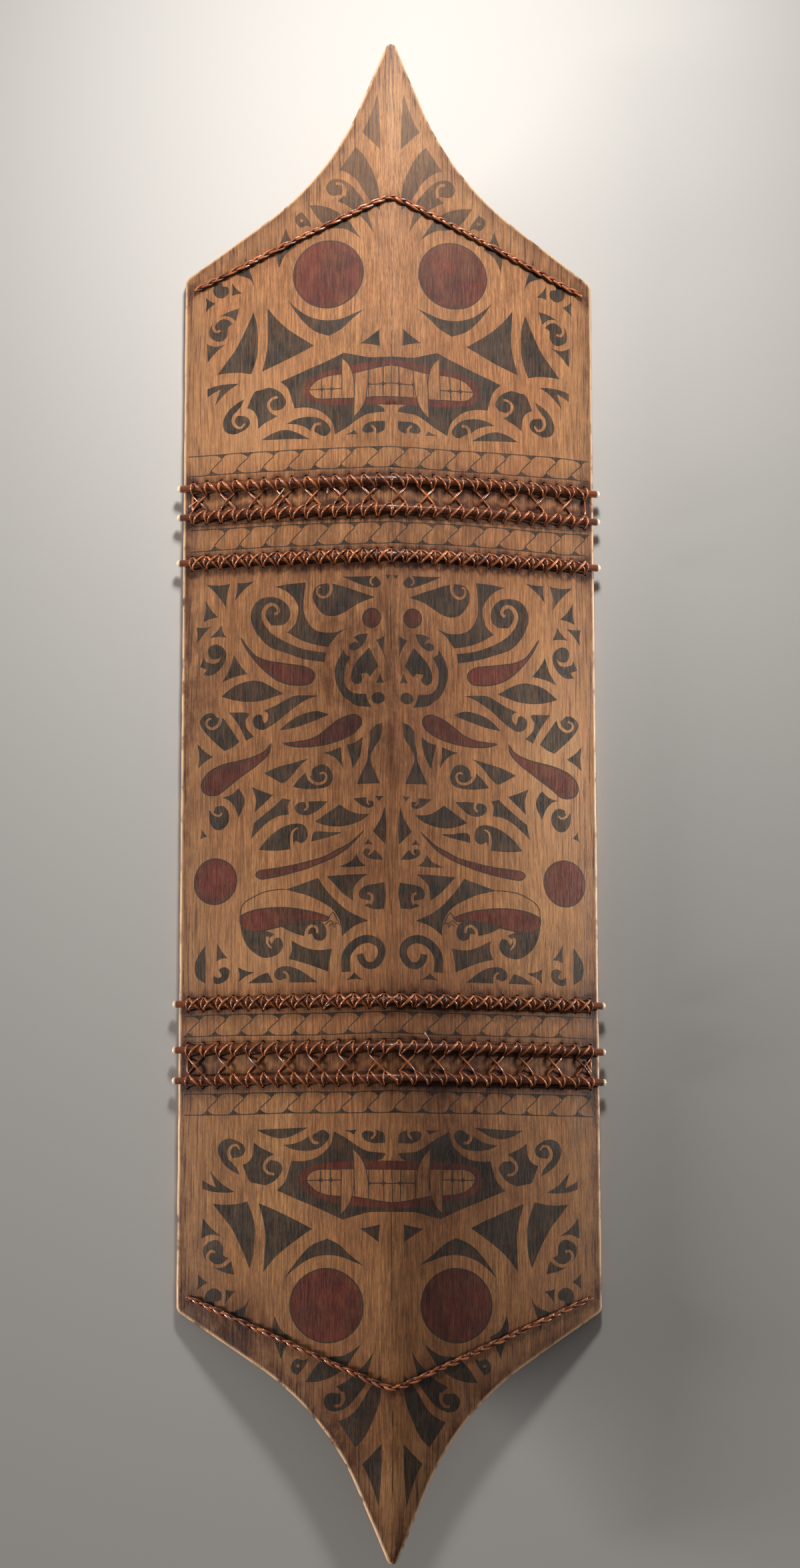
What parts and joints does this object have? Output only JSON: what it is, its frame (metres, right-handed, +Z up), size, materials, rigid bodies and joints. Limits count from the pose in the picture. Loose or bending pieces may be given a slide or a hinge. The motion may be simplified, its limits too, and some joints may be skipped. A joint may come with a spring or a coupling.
{
  "type": "wooden shield",
  "caption": "Long wooden parrying shield, ridged and pointed at both ends, painted and laced across with rattan, with a grip carved on its hollow back.",
  "frame": {"origin": "on the ground under the middle of the shield, which lies on the long edges of its hollow back", "axes": "+Z up, out of the painted front; +Y along the shield to its top end; +X across it"},
  "size_m": [0.3556, 1.262, 0.0582],
  "materials": {
    "painted_wood": "light hardwood, handled smooth, painted in charcoal and dark red",
    "rattan_rod": "rattan skin, dark with age, satin",
    "rattan_strip": "split rattan, glossy skin side out",
    "plaited_rattan": "plaited split rattan, satin"
  },
  "bodies": {
    "root": {"board": "painted_wood", "rod_1": "rattan_rod", "rod_2": "rattan_rod", "rod_3": "rattan_rod", "rod_4": "rattan_rod", "rod_5": "rattan_rod", "rod_6": "rattan_rod", "lacing_1": "rattan_strip", "lacing_2": "rattan_strip", "lacing_3": "rattan_strip", "lacing_4": "rattan_strip", "lacing_5": "rattan_strip", "lacing_6": "rattan_strip", "braid_top": "plaited_rattan", "braid_bottom": "plaited_rattan"}
  },
  "joints": []
}
